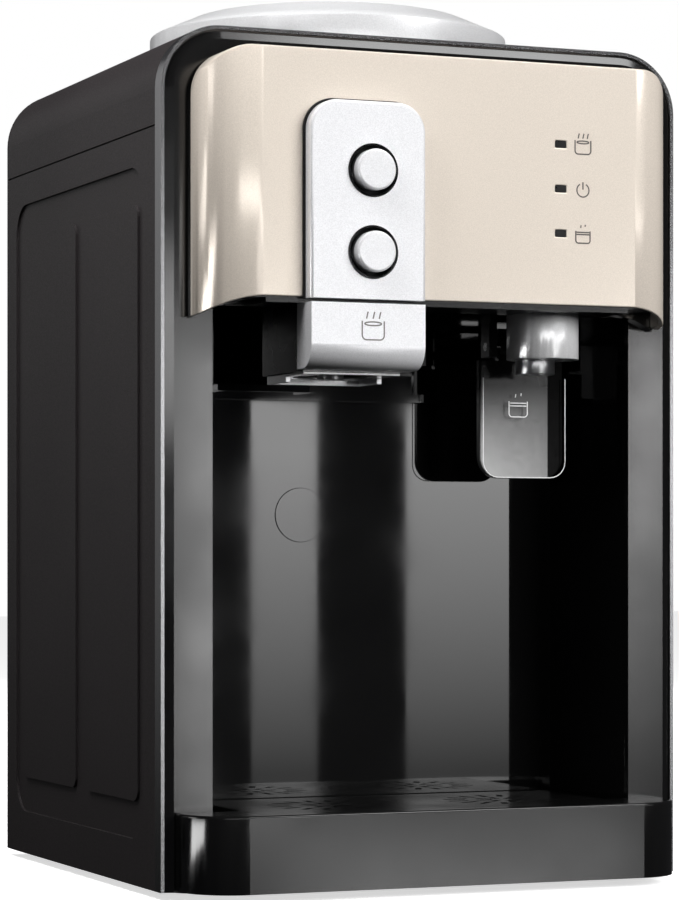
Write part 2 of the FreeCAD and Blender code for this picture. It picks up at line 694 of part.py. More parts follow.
def cold_paddle():
    """The push paddle: a plate with round lower corners, a pivot boss and a cam above it."""
    body = new_body("PaddlePlate")
    front = "paddle_y - paddle_thickness / 2"
    drawing = sketch_on(body, "XZ_Plane", f"-({front})")
    rectangle(drawing, "cold_middle - paddle_half", "cold_middle + paddle_half", "paddle_low", "cold_low + 1")
    plate = pad(body, drawing, "paddle_thickness", reverse=True)
    doc.recompute()
    low = plate.Shape.BoundBox.ZMin
    rounded = fillet(body, plate, lambda a, b: near(a.x, b.x) and near(a.z, low) and near(b.z, low), "10")
    face = rounded.Shape.BoundBox.YMin
    fillet(body, rounded, lambda a, b: near(a.y, face) and near(b.y, face) and min(a.z, b.z) < low + 30,
           "0.8")
    neck = box("cold_middle - 12", "cold_middle + 12", front, f"{front} + paddle_thickness",
               "cold_low", "cam_top")
    boss = rod("4.5", "24", "cold_middle - 12", "paddle_y", "pivot_height", "x")
    bore = rod("pin_radius + running_gap", "60", "cold_middle - 30", "paddle_y", "pivot_height", "x")
    node(cut(fuse(body, neck, boss), bore), "cold_paddle")


def paddle_bracket():
    plate = box("cold_middle - 18", "cold_middle + 18", "paddle_y - 5", "paddle_y + 5",
                "soffit - 2", "soffit")
    lugs = [box(f"cold_middle {low}", f"cold_middle {high}", "paddle_y - 4.5", "paddle_y + 4.5",
                "pivot_height - 5", "soffit - 1") for low, high in (("- 18", "- 14"), ("+ 14", "+ 18"))]
    bore = rod("pin_radius", "60", "cold_middle - 30", "paddle_y", "pivot_height", "x")
    node(cut(fuse(plate, *lugs), bore), "paddle_bracket")
    node(group(rod("pin_radius", "36", "cold_middle - 18", "paddle_y", "pivot_height", "x")), "paddle_pin")


# ---------------------------------------------------------------- drip tray

def drip_tray():
    """A basin that slides into the alcove behind a rounded front that spans the casing."""
    body = new_body("TrayFront")
    drawing = sketch_on(body, "XY_Plane", "tray_low")
    rectangle(drawing, "-tray_half", "tray_half", "-tray_front", "-0.4")
    block = pad(body, drawing, "tray_top - tray_low")
    doc.recompute()
    front = block.Shape.BoundBox.YMin
    rounded = fillet(body, block, lambda a, b: near(a.x, b.x) and near(a.y, front) and near(b.y, front),
                     "tray_corner")
    top = rounded.Shape.BoundBox.ZMax
    back = rounded.Shape.BoundBox.YMax
    fillet(body, rounded, lambda a, b: near(a.z, top) and near(b.z, top) and a.y + b.y < 2 * back - 1,
           "1.2")
    drawer = box("-tray_inner_half", "tray_inner_half", "-5", "tray_back", "sill + 0.4", "tray_top")
    ledge = box("-tray_inner_half + 1.5", "tray_inner_half - 1.5", "-tray_front + 6", "tray_back - 2",
                "tray_top - grille_thickness", "tray_top + 1")
    basin = box("-tray_inner_half + 4", "tray_inner_half - 4", "-tray_front + 9", "tray_back - 5",
                "6", "tray_top + 1")
    pockets = [box(f"{side} * 104.5 - 12", f"{side} * 104.5 + 12", "-12", "-3", "tray_low - 1", "tray_top - 3")
               for side in (-1, 1)]
    node(cut(fuse(body, drawer), ledge, basin, *pockets), "drip_tray")


def slot_ring(body, x, y, first, last, count):
    """Radial slots cut through a plate, in a ring round a point."""
    drawing = sketch_on(body, "XY_Plane", "tray_top + 1")
    bind(drawing, "AttachmentOffset.Base.x", x)
    bind(drawing, "AttachmentOffset.Base.y", y)
    rectangle(drawing, first, last, "-1.5", "1.5")
    slot = pocket(body, drawing, "9")
    doc.recompute()
    ring = body.newObject("PartDesign::PolarPattern", "SlotRing")
    ring.Originals = [slot]
    ring.Axis = (drawing, ["N_Axis"])
    ring.Angle = 360
    ring.Occurrences = count
    body.Tip = ring
    doc.recompute()
    if not ring.Shape.Volume < slot.Shape.Volume - 1:
        raise RuntimeError("a ring of slots cut nothing")


def drip_grille():
    body = new_body("drip_grille")
    drawing = sketch_on(body, "XY_Plane", "tray_top - grille_thickness")
    rectangle(drawing, "-tray_inner_half + 1.9", "tray_inner_half - 1.9", "-tray_front + 6.4",
              "tray_back - 2.4")
    plate = pad(body, drawing, "grille_thickness")
    fillet(body, plate, lambda a, b: near(a.x, b.x) and near(a.y, b.y), "3")
    for middle in ("button_middle", "cold_middle * 0.75"):
        slot_ring(body, middle, "16", "5", "13", 8)
        slot_ring(body, middle, "16", "17", "27", 16)
    node(body, "drip_grille")


# ---------------------------------------------------------------- bottle seat

def cone(lower, upper, z0, z1, x="0", y="seat_middle_y"):
    solid = doc.addObject("Part::Cone", "Cone")
    bind(solid, "Radius1", lower)
    bind(solid, "Radius2", upper)
    bind(solid, "Height", f"({z1}) - ({z0})")
    return at(solid, x, y, z0)


def seat_rod(radius, z0, z1):
    return rod(radius, f"({z1}) - ({z0})", "0", "seat_middle_y", z0)


def bottle_collar():
    """The ring that carries the bottle, with the funnel that takes its neck."""
    dome = fuse(seat_rod("collar_radius", "case_height", "collar_wall_top"),
                cone("collar_radius", "rim_radius", "collar_wall_top", "collar_rim"))
    under = fuse(seat_rod("collar_radius - 3", "case_height - 1", "collar_wall_top - 1.2"),
                 cone("collar_radius - 3", "rim_radius - 2.5", "collar_wall_top - 1.2", "collar_rim - 2.4"))
    funnel = cone("57", "rim_radius - 3", "reservoir_top + 2", "collar_rim - 1")
    throat = cone("54", "rim_radius - 6", "reservoir_top + 5", "collar_rim + 0.5")
    spigot_hole = seat_rod("8", "reservoir_top", "reservoir_top + 9")
    node(cut(fuse(cut(dome, under), funnel), throat, spigot_hole), "bottle_collar")


def bottle_probe():
    """The spike that opens the bottle's cap and lets water down and air up."""
    floor = "reservoir_top + 5"
    shank = fuse(seat_rod("probe_radius", floor, "collar_rim - 14"),
                 cone("probe_radius", "4", "collar_rim - 14", "collar_rim - 5"),
                 seat_rod("8", "reservoir_top - 8", floor), seat_rod("18", floor, f"{floor} + 2.5"))
    bore = seat_rod("5", "reservoir_top - 9", "collar_rim - 16")
    ports = [rod("2.5", "40", "-20", "seat_middle_y", f"collar_rim - {step}", "x") for step in (20, 28)]
    node(cut(shank, bore, *ports), "bottle_probe")


# ---------------------------------------------------------------- water circuit

def reservoir():
    middle = "seat_middle_y"
    cup = seat_rod("reservoir_radius", "reservoir_low", "reservoir_top")
    room = seat_rod("reservoir_radius - 2.5", "reservoir_low + 2.5", "reservoir_top + 1")
    outlet = rod("hose_radius", "12", "12", "tank_y", "reservoir_low - 10")
    side = rod("hose_radius", "14", "58", f"{middle} - 17", "reservoir_low + 10", "x")
    vent = rod("hose_radius", "11", "-61", f"{middle} + 33", "reservoir_top - 15", "x")
    outlet_bore = rod("hose_bore", "20", "12", "tank_y", "reservoir_low - 11")
    side_bore = rod("hose_bore", "24", "50", f"{middle} - 17", "reservoir_low + 10", "x")
    vent_bore = rod("hose_bore", "24", "-62", f"{middle} + 33", "reservoir_top - 15", "x")
    hollow = fuse(room, outlet_bore, side_bore, vent_bore)
    node(cut(fuse(cup, outlet, side, vent), hollow), "reservoir")
    outer = seat_rod("reservoir_radius", "reservoir_top", "reservoir_top + 3")
    inner = seat_rod("reservoir_radius - 3", "reservoir_top - 1", "reservoir_top + 4")
    node(cut(outer, inner), "reservoir_seal")
    shelf = box("-64", "64", "alcove_depth + liner_wall", "case_depth - rear_plate",
                "reservoir_low - 4", "reservoir_low")
    node(cut(shelf, rod("hose_radius + 0.4", "9", "12", "tank_y", "reservoir_low - 5")),
         "reservoir_shelf")


def tank_rod(radius, z0, z1, dx=0, dy=0):
    return rod(radius, f"({z1}) - ({z0})", f"tank_x + {dx}", f"tank_y + {dy}", z0)


def boiler():
    drum = tank_rod("tank_radius", "tank_low", "tank_top")
    room = tank_rod("tank_radius - 2", "tank_low + 2", "tank_top - 2")
    stubs = [tank_rod("hose_radius", "tank_top - 1", "tank_top + 13", -30, 12),
             tank_rod("hose_radius", "tank_top - 1", "tank_top + 13", -10, -15),
             tank_rod("hose_radius", "tank_low - 12", "tank_low + 1"),
             rod("hose_radius", "16", "tank_x + tank_radius - 2", "tank_y", "tank_low + 13", "x")]
    bores = [tank_rod("hose_bore", "tank_top - 9", "tank_top + 14", -30, 12),
             tank_rod("hose_bore", "tank_top - 9", "tank_top + 14", -10, -15),
             tank_rod("hose_bore", "tank_low - 13", "tank_low + 9"),
             rod("hose_bore", "22", "tank_x + tank_radius - 6", "tank_y", "tank_low + 13", "x")]
    node(cut(fuse(drum, *stubs), room, *bores), "hot_tank")
    band = cut(tank_rod("tank_radius + 3", "tank_low + 22", "tank_low + 52"),
               tank_rod("tank_radius", "tank_low + 20", "tank_low + 54"))
    block = box("tank_x - 8", "tank_x + 8", "tank_y - tank_radius - 10", "tank_y - tank_radius - 2",
                "tank_low + 28", "tank_low + 46")
    node(fuse(band, block), "band_heater")
    wrap = cut(tank_rod("tank_radius + 7", "tank_low + 58", "tank_top"),
               tank_rod("tank_radius", "tank_low + 57", "tank_top + 1"))
    node(group(wrap), "tank_insulation")
    discs = [tank_rod("8", "tank_top", "tank_top + 6", 14, 16 * side) for side in (-1, 1)]
    node(group(*discs), "thermostats")
    reach = "tank_radius + 2"
    plate = box(f"tank_x - ({reach})", f"tank_x + ({reach})", f"tank_y - ({reach})", f"tank_y + ({reach})",
                "tank_low - 4", "tank_low")
    legs = [box(f"tank_x {low}", f"tank_x {high}", f"tank_y - ({reach})", f"tank_y + ({reach})",
                "wall", "tank_low - 4")
            for low, high in ((f"- ({reach})", f"- ({reach}) + 3"), (f"+ ({reach}) - 3", f"+ ({reach})"))]
    hole = tank_rod("hose_radius + 0.5", "tank_low - 9", "tank_low + 1")
    node(cut(fuse(plate, *legs), hole), "tank_bracket")


def drain():
    spout = rod("6", "24", "tank_x", "case_depth - 16", "drain_height", "y")
    flange = rod("10", "2", "tank_x", "case_depth", "drain_height", "y")
    bore = rod("hose_bore", "40", "tank_x", "case_depth - 20", "drain_height", "y")
    node(cut(fuse(spout, flange), bore), "drain_spout")
    collar = rod("9", "6.2", "tank_x", "case_depth + 2.3", "drain_height", "y")
    knob = rod("9", "3.5", "tank_x", "case_depth + 8.5", "drain_height", "y")
    wing = box("tank_x - 2", "tank_x + 2", "case_depth + 8.5", "case_depth + 12",
               "drain_height - 9", "drain_height + 9")
    socket = rod("6 + running_gap", "6", "tank_x", "case_depth + 2.2", "drain_height", "y")
    node(cut(fuse(collar, common(knob, wing)), socket), "drain_cap")


def cord_gland():
    """The grommet where the supply lead goes in, left open."""
    flange = rod("8", "3", "70", "case_depth", "drain_height", "y")
    neck = rod("5", "7", "70", "case_depth - 6", "drain_height", "y")
    bore = rod("3.2", "20", "70", "case_depth - 9", "drain_height", "y")
    node(cut(fuse(flange, neck), bore), "cord_gland")


def hose_path(points, bend):
    """Straight runs through the points, joined by tangent arcs of one radius."""
    corners = [Vector(*p) for p in points]
    edges, start = [], corners[0]
    for before, corner, after in zip(corners, corners[1:], corners[2:]):
        inward = (before - corner).normalize()
        onward = (after - corner).normalize()
        half_angle = inward.getAngle(onward) / 2
        reach = bend / math.tan(half_angle)
        entry, leave = corner + inward * reach, corner + onward * reach
        middle = (inward + onward).normalize()
        apex = corner + middle * (bend / math.sin(half_angle) - bend)
        edges += [Part.LineSegment(start, entry).toShape(), Part.Arc(entry, apex, leave).toShape()]
        start = leave
    edges.append(Part.LineSegment(start, corners[-1]).toShape())
    return Part.Wire(edges)


def hose(label, points, bend):
    """A clipped hose made whole along its route."""
    path = hose_path(points, bend)
    heading = Vector(*points[1]) - Vector(*points[0])
    tubes = []
    for radius in (size["hose_radius"], size["hose_bore"]):
        ring = Part.Wire(Part.makeCircle(radius, Vector(*points[0]), heading))
        tubes.append(path.makePipeShell([ring], True, False))
    tube = tubes[0].cut(tubes[1])
    section = math.pi * (size["hose_radius"] ** 2 - size["hose_bore"] ** 2)
    if abs(tube.Volume / (section * path.Length) - 1) > 0.01:
        raise RuntimeError(f"{label} has the wrong volume")
    shaped(label, tube)


def hoses():
    """The runs between reservoir, boiler, valves and drain."""
    tank_x, tank_y, tank_top = size["tank_x"], size["tank_y"], size["tank_top"] + 13
    low, top = size["reservoir_low"], size["reservoir_top"]
    entry = size["tank_low"] + 13
    hose("tank_inlet_hose", [(12, tank_y, low - 10), (12, tank_y, entry), (-8, tank_y, entry)], 12)
    vent_x, vent_y = tank_x - 10, tank_y - 15
    hose("vent_hose", [(vent_x, vent_y, tank_top), (vent_x, vent_y, top - 15), (-61, vent_y, top - 15)], 8)
    hot_x, hot_y, valve = tank_x - 30, tank_y + 12, size["hot_height"]
    hose("hot_hose", [(hot_x, hot_y, tank_top), (hot_x, hot_y, 262), (hot_x, 78, valve),
                      (size["button_middle"], 50, valve), (size["button_middle"], 30, valve)], 14)
    side_y, side_z, tap = size["seat_middle_y"] - 17, low + 10, size["cold_middle"]
    hose("cold_hose", [(72, side_y, side_z), (92, side_y, side_z), (92, 46, 286),
                       (tap, size["cold_barb_y"], 292), (tap, size["cold_barb_y"], 262)], 12)
    drain_z = size["drain_height"]
    hose("drain_hose", [(tank_x, tank_y, size["tank_low"] - 12), (tank_x, tank_y, drain_z),
                        (tank_x, size["case_depth"] - 16, drain_z)], 14)


hot_tap_housing()
hot_tap_body()
hot_outlet_ring()
hot_valve()
cold_tap()
cold_paddle()
paddle_bracket()
drip_tray()
drip_grille()
bottle_collar()
bottle_probe()
reservoir()
boiler()
drain()
cord_gland()
hoses()
rear_screws()


# ---------------------------------------------------------------- checks and files

doc.recompute()
faults = [o.Label for o in doc.Objects if "Invalid" in o.State or "Error" in o.State]
faults += [o.Label for o in nodes if o.Shape.isNull() or not o.Shape.isValid() or not o.Shape.Solids]
if faults:
    raise RuntimeError("failed objects: " + ", ".join(faults))
if len({o.Label for o in nodes}) != len(nodes):
    raise RuntimeError("two sub-parts share a label")

os.makedirs("parts", exist_ok=True)
for sub_part in nodes:
    sub_part.Shape.exportStep(f"parts/{sub_part.Label}.step")
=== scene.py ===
import json
import math

import bpy
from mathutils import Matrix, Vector


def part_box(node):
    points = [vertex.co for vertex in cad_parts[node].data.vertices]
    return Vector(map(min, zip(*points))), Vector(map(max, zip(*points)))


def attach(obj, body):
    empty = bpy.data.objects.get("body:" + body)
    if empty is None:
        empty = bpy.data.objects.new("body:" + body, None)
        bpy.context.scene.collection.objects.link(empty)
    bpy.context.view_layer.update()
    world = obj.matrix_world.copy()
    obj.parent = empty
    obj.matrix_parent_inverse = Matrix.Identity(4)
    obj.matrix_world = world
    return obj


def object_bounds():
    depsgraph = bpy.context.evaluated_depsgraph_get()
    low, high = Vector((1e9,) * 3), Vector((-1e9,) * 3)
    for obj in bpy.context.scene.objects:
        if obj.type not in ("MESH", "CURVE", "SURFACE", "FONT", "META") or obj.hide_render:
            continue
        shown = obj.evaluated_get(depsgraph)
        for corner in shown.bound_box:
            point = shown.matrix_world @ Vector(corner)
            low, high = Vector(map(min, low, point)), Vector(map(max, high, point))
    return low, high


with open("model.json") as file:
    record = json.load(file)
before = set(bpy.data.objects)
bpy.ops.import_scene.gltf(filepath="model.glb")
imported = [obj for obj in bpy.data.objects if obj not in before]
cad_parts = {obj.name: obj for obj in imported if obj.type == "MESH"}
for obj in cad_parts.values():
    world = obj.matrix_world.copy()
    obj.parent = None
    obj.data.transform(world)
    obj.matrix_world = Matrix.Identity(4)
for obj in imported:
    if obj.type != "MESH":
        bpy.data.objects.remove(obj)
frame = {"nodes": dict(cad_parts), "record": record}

MM = 0.001
cad_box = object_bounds()
scene = bpy.context.scene
scene.view_settings.view_transform = "Standard"


# ---------------------------------------------------------------- places taken from the frame

def low(node):
    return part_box(node)[0]


def high(node):
    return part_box(node)[1]


FACE_Y = low("front_frame").y
BASE_Z = low("side_panel_left").z


# ---------------------------------------------------------------- camera, light and floor

CAMERA_PLACE = (-0.58567, FACE_Y - 1.311, BASE_Z + 0.14796)
CAMERA_TURN = 22.5146
FOCAL_LENGTH = 127.39
HORIZON_SHIFT = 0.11534

# The reflected strips stand in one upright plane this far in front of the object.
STRIP_DISTANCE = 1.4

# name, left and right, foot and top, then the glow: between which levels it grows, from and to what
EVEN = (-0.20, 0.36)
WALL_GLOW = (-0.06, 0.25, 0.5, 3.7)
STRIPS = [
    ("strip_lip", (0.350, 0.372), (-0.09, 0.58), (*EVEN, 0.6, 0.6)),
    ("strip_a", (0.386, 0.440), (-0.09, 0.36), (*EVEN, 5.6, 6.4)),
    ("strip_b", (0.500, 0.568), (-0.09, 0.297), WALL_GLOW),
    ("strip_c", (0.661, 0.817), (-0.09, 0.297), WALL_GLOW),
    ("strip_d", (0.837, 0.872), (-0.09, 0.36), (-0.06, 0.30, 1.0, 10.5)),
    ("strip_tray", (0.46, 0.83), (-0.38, -0.10), (-0.38, -0.10, 1.5, 2.4)),
    ("tap_left", (-0.9, 0.33), (0.27, 0.42), (*EVEN, 4.0, 4.0)),
    ("tap_right", (0.92, 1.7), (0.27, 0.42), (*EVEN, 3.0, 3.0)),
]

# name, four corners, then the glow: between which levels it grows, from and to what
PANELS = [
    ("overhead",
     [(0.53, -1.22, 1.05), (1.05, -0.97, 1.05), (1.0, -0.76, 1.75), (0.48, -1.02, 1.75)],
     (0, 1, 5.5, 5.5)),
    ("behind_left",
     [(-1.3, 1.0, -0.3), (-0.35, 1.5, -0.3), (-0.35, 1.5, 1.0), (-1.3, 1.0, 1.0)],
     (-0.1, 0.6, 0.0, 0.35)),
    ("side_left",
     [(-1.6, 0.10, 0.3), (-1.6, 0.85, 0.3), (-1.6, 0.85, 0.8), (-1.6, 0.10, 0.8)],
     (0, 0.6, 2.6, 2.6)),
    ("low_left",
     [(-1.6, -0.5, -0.35), (-1.6, 0.4, -0.35), (-1.6, 0.4, -0.03), (-1.6, -0.5, -0.03)],
     (0, 0.6, 8.5, 8.5)),
]

# name, centre, the point it faces, width, height, radiance
SOFTBOXES = [
    ("front_key", (1.10, -1.85, 0.95), (0, 0, 0.25), 1.3, 1.1, 12.2),
    ("back_fill", (1.1, 1.5, 0.9), (0, 0, 0.2), 1.0, 0.8, 7.0),
    ("top_key", (0.0, 0.5, 1.9), (0, 0, 0.3), 1.2, 1.2, 2.4),
    ("left_high", (-0.36, -0.20, 0.74), (-0.1, -0.06, 0.33), 0.24, 0.35, 13.0),
]

# The ambient light grows with the direction's height: from and to which height, from and to what.
AMBIENT_RISE = (-0.35, 0.75, 0.0, 0.3)
GLOSSY_SURROUNDINGS = (0.02, 0.02, 0.022, 1)
FLOOR_REACH = 6.0
FLOOR_GAP = 0.0002
FLOOR_GLOW = 0.65


def add_camera():
    data = bpy.data.cameras.new("camera")
    data.lens = FOCAL_LENGTH
    data.sensor_width = 36.0
    data.shift_y = HORIZON_SHIFT
    data.clip_end = 30.0
    camera = bpy.data.objects.new("camera", data)
    camera.location = CAMERA_PLACE
    camera.rotation_euler = (math.radians(90), 0, -math.radians(CAMERA_TURN))
    scene.collection.objects.link(camera)
    scene.camera = camera


def softbox(name, centre, target, width, height, radiance):
    """A rectangular light of even brightness that faces a point and shows in no mirror."""
    data = bpy.data.lights.new(name, "AREA")
    data.shape = "RECTANGLE"
    data.size = width
    data.size_y = height
    data.energy = radiance * math.pi * width * height
    light = bpy.data.objects.new(name, data)
    light.location = centre
    light.rotation_euler = (Vector(target) - Vector(centre)).to_track_quat("-Z", "Y").to_euler()
    light.visible_camera = False
    light.visible_glossy = False
    scene.collection.objects.link(light)


def map_range(nodes, start, end, first, last):
    """A node that maps start..end onto first..last."""
    node = nodes.new("ShaderNodeMapRange")
    for socket, value in zip(("From Min", "From Max", "To Min", "To Max"), (start, end, first, last)):
        node.inputs[socket].default_value = value
    return node


def glow_material(name, low_z, high_z, bottom, top):
    """Light that grows evenly with height between two levels."""
    glow = bpy.data.materials.new(name)
    glow.use_nodes = True
    nodes, links = glow.node_tree.nodes, glow.node_tree.links
    nodes.clear()
    output = nodes.new("ShaderNodeOutputMaterial")
    emission = nodes.new("ShaderNodeEmission")
    place = nodes.new("ShaderNodeTexCoord")
    split = nodes.new("ShaderNodeSeparateXYZ")
    fade = map_range(nodes, low_z, high_z, bottom, top)
    links.new(place.outputs["Object"], split.inputs[0])
    links.new(split.outputs["Z"], fade.inputs["Value"])
    links.new(fade.outputs["Result"], emission.inputs["Strength"])
    links.new(emission.outputs[0], output.inputs[0])
    return glow


def mirrored_panel(name, corners, glow):
    """A glowing sheet that only the glossy faces see."""
    mesh = bpy.data.meshes.new(name)
    mesh.from_pydata(corners, [], [(0, 1, 2, 3)])
    panel = bpy.data.objects.new(name, mesh)
    panel.visible_camera = False
    panel.visible_diffuse = False
    panel.visible_shadow = False
    scene.collection.objects.link(panel)
    mesh.materials.append(glow)


def reflected_strip(name, across, heights, glow):
    """An upright panel in front of the object; the glow runs from low to high over given levels."""
    y = FACE_Y - STRIP_DISTANCE
    (x0, x1), (z0, z1) = across, heights
    corners = [(x0, y, z0), (x1, y, z0), (x1, y, z1), (x0, y, z1)]
    mirrored_panel(name, corners, glow_material(name, *glow))


def add_world():
    """White behind the object, dark for its mirror images, and a soft ambient light for the rest."""
    world = bpy.data.worlds.new("studio")
    scene.world = world
    world.use_nodes = True
    nodes, links = world.node_tree.nodes, world.node_tree.links
    nodes.clear()
    output = nodes.new("ShaderNodeOutputWorld")
    path = nodes.new("ShaderNodeLightPath")
    place = nodes.new("ShaderNodeTexCoord")
    split = nodes.new("ShaderNodeSeparateXYZ")
    links.new(place.outputs["Generated"], split.inputs[0])
    rise = map_range(nodes, *AMBIENT_RISE)
    links.new(split.outputs["Z"], rise.inputs["Value"])
    ambient = nodes.new("ShaderNodeBackground")
    links.new(rise.outputs["Result"], ambient.inputs["Strength"])
    dark = nodes.new("ShaderNodeBackground")
    dark.inputs["Color"].default_value = GLOSSY_SURROUNDINGS
    backdrop = nodes.new("ShaderNodeBackground")
    backdrop.inputs["Color"].default_value = (1, 1, 1, 1)
    glossy = nodes.new("ShaderNodeMixShader")
    seen = nodes.new("ShaderNodeMixShader")
    links.new(path.outputs["Is Glossy Ray"], glossy.inputs[0])
    links.new(ambient.outputs[0], glossy.inputs[1])
    links.new(dark.outputs[0], glossy.inputs[2])
    links.new(path.outputs["Is Camera Ray"], seen.inputs[0])
    links.new(glossy.outputs[0], seen.inputs[1])
    links.new(backdrop.outputs[0], seen.inputs[2])
    links.new(seen.outputs[0], output.inputs[0])


def add_floor():
    mesh = bpy.data.meshes.new("floor")
    reach = FLOOR_REACH
    corners = [(-reach, -reach, 0), (reach, -reach, 0), (reach, reach, 0), (-reach, reach, 0)]
    mesh.from_pydata(corners, [], [(0, 1, 2, 3)])
    floor = bpy.data.objects.new("floor", mesh)
    floor.location.z = cad_box[0][2] - FLOOR_GAP
    floor.visible_glossy = False
    floor.visible_diffuse = False
    scene.collection.objects.link(floor)
    paint = bpy.data.materials.new("floor")
    paint.use_nodes = True
    shader = paint.node_tree.nodes["Principled BSDF"]
    shader.inputs["Base Color"].default_value = (0.9, 0.9, 0.9, 1)
    shader.inputs["Roughness"].default_value = 0.9
    shader.inputs["Specular IOR Level"].default_value = 0.0
    shader.inputs["Emission Color"].default_value = (1, 1, 1, 1)
    shader.inputs["Emission Strength"].default_value = FLOOR_GLOW
    mesh.materials.append(paint)


add_camera()
add_world()
add_floor()
for strip in STRIPS:
    reflected_strip(*strip)
for title, outline, growth in PANELS:
    mirrored_panel(title, outline, glow_material(title, *growth))
for box in SOFTBOXES:
    softbox(*box)


# ---------------------------------------------------------------- materials

class Paint:
    """A node material under construction: a principled shader with its node tree."""

    def __init__(self, name, **settings):
        self.material = bpy.data.materials.new(name)
        self.material.use_nodes = True
        self.nodes = self.material.node_tree.nodes
        self.links = self.material.node_tree.links
        self.shader = self.nodes["Principled BSDF"]
        place = self.nodes.new("ShaderNodeTexCoord")
        self.place = place.outputs["Object"]
        for socket, value in settings.items():
            self.shader.inputs[socket.replace("_", " ")].default_value = value

    def noise(self, scale, detail=2.0, stretch=(1, 1, 1)):
        mapping = self.nodes.new("ShaderNodeMapping")
        mapping.inputs["Scale"].default_value = stretch
        self.links.new(self.place, mapping.inputs["Vector"])
        texture = self.nodes.new("ShaderNodeTexNoise")
        texture.inputs["Scale"].default_value = scale
        texture.inputs["Detail"].default_value = detail
        self.links.new(mapping.outputs[0], texture.inputs["Vector"])
        return texture.outputs["Fac"]

    def spread(self, value, low, high, start=0.3, end=0.7):
        """A value mapped from its middle range onto low..high."""
        node = map_range(self.nodes, start, end, low, high)
        self.links.new(value, node.inputs["Value"])
        return node.outputs["Result"]

    def blend(self, value, first, second):
        node = self.nodes.new("ShaderNodeMix")
        node.data_type = "RGBA"
        node.inputs[6].default_value = (*first, 1)
        node.inputs[7].default_value = (*second, 1)
        self.links.new(value, node.inputs[0])
        return node.outputs[2]

    def bump(self, value, distance, strength=1.0):
        node = self.nodes.new("ShaderNodeBump")
        node.inputs["Distance"].default_value = distance
        node.inputs["Strength"].default_value = strength
        self.links.new(value, node.inputs["Height"])
        self.links.new(node.outputs[0], self.shader.inputs["Normal"])

    def feed(self, socket, value):
        self.links.new(value, self.shader.inputs[socket])


def gloss_black(name, colour=0.004, rough=(0.015, 0.05), wave=0.00002):
    """Polished black moulding: a faint waviness and a little haze in patches."""
    paint = Paint(name, IOR=1.7)
    haze = paint.noise(22, 4)
    paint.feed("Base Color", paint.blend(haze, (colour,) * 3, (colour * 1.5,) * 3))
    paint.feed("Roughness", paint.spread(haze, *rough))
    paint.bump(paint.noise(9, 1), wave)
    return paint.material


def textured_plastic(name, colour, rough=0.55, grain=1800, depth=0.00006, sheen=0.5):
    """Spark-eroded plastic: a fine even grain with slight colour drift."""
    paint = Paint(name, IOR=1.48, Specular_IOR_Level=sheen)
    fine = paint.noise(grain, 2)
    drift = paint.noise(12, 3)
    darker, lighter = (tuple(c * factor for c in colour) for factor in (0.85, 1.15))
    paint.feed("Base Color", paint.blend(drift, darker, lighter))
    paint.feed("Roughness", paint.spread(fine, rough - 0.1, rough + 0.1))
    paint.bump(fine, depth, 0.7)
    return paint.material


def smoked_plastic_with_painted_light(name):
    """Smoked plastic with painted light and shade for what shows through it: lighter low on the left,
    painted shade towards the top and right, and a painted dark strip with little sheen along the right
    edge.
    """
    paint = Paint(name, IOR=1.5, Roughness=0.15)
    box_low, box_high = low("cold_paddle"), high("cold_paddle")
    split = paint.nodes.new("ShaderNodeSeparateXYZ")
    paint.links.new(paint.place, split.inputs[0])
    # Painted shade: a dark strip along the right edge of the paddle.
    painted_shade_edge_x = box_high.x - 0.0085
    # Painted light and shade: lighter low down and on the left, darker towards the top and towards the
    # right.
    painted_shade_top = paint.spread(split.outputs["Z"], 0.46, 0.02, box_low.z, low("cold_nozzle").z - 0.004)
    right = paint.spread(split.outputs["X"], 1.0, 0.35, box_low.x, box_low.x + 0.045)
    edge = paint.spread(split.outputs["X"], 1.0, 0.02, painted_shade_edge_x, painted_shade_edge_x + 0.0005)
    fine = paint.spread(paint.noise(40, 3), 0.94, 1.06)
    value = painted_shade_top
    for factor in (right, edge, fine):
        node = paint.nodes.new("ShaderNodeMath")
        node.operation = "MULTIPLY"
        paint.links.new(value, node.inputs[0])
        paint.links.new(factor, node.inputs[1])
        value = node.outputs[0]
    paint.feed("Base Color", value)
    # Painted shade: the dark strip on the right gets almost no sheen.
    paint.feed("Specular IOR Level", paint.spread(edge, 0.02, 0.4, 0, 1))
    paint.feed("Roughness", paint.spread(paint.noise(300, 2), 0.1, 0.2))
    return paint.material


def flake_paint(name, colour, metallic, rough, flake=2600, depth=0.00002):
    """Metallic lacquer: small flakes that vary in brightness."""
    paint = Paint(name, Metallic=metallic, IOR=1.5)
    flakes = paint.noise(flake, 1)
    cloud = paint.noise(14, 1)
    paint.feed("Base Color", paint.blend(paint.spread(flakes, 0, 1), tuple(c * 0.9 for c in colour),
                                         tuple(min(1, c * 1.08) for c in colour)))
    paint.feed("Roughness", paint.spread(cloud, rough - 0.015, rough + 0.015, 0.1, 0.9))
    paint.bump(flakes, depth, 0.5)
    return paint.material


def metal(name, colour, rough=(0.12, 0.3), stretch=(1, 1, 40)):
    """Bare metal with drawn lines along one direction."""
    paint = Paint(name, Metallic=1.0)
    lines = paint.noise(60, 3, stretch)
    paint.feed("Base Color", paint.blend(lines, tuple(c * 0.9 for c in colour), colour))
    paint.feed("Roughness", paint.spread(lines, *rough))
    paint.bump(lines, 0.00001, 0.4)
    return paint.material


def rubber(name, colour):
    paint = Paint(name, IOR=1.5)
    fine = paint.noise(700, 3)
    paint.feed("Base Color", paint.blend(fine, tuple(c * 0.8 for c in colour), colour))
    paint.feed("Roughness", paint.spread(fine, 0.7, 0.9))
    paint.bump(fine, 0.00005, 0.5)
    return paint.material


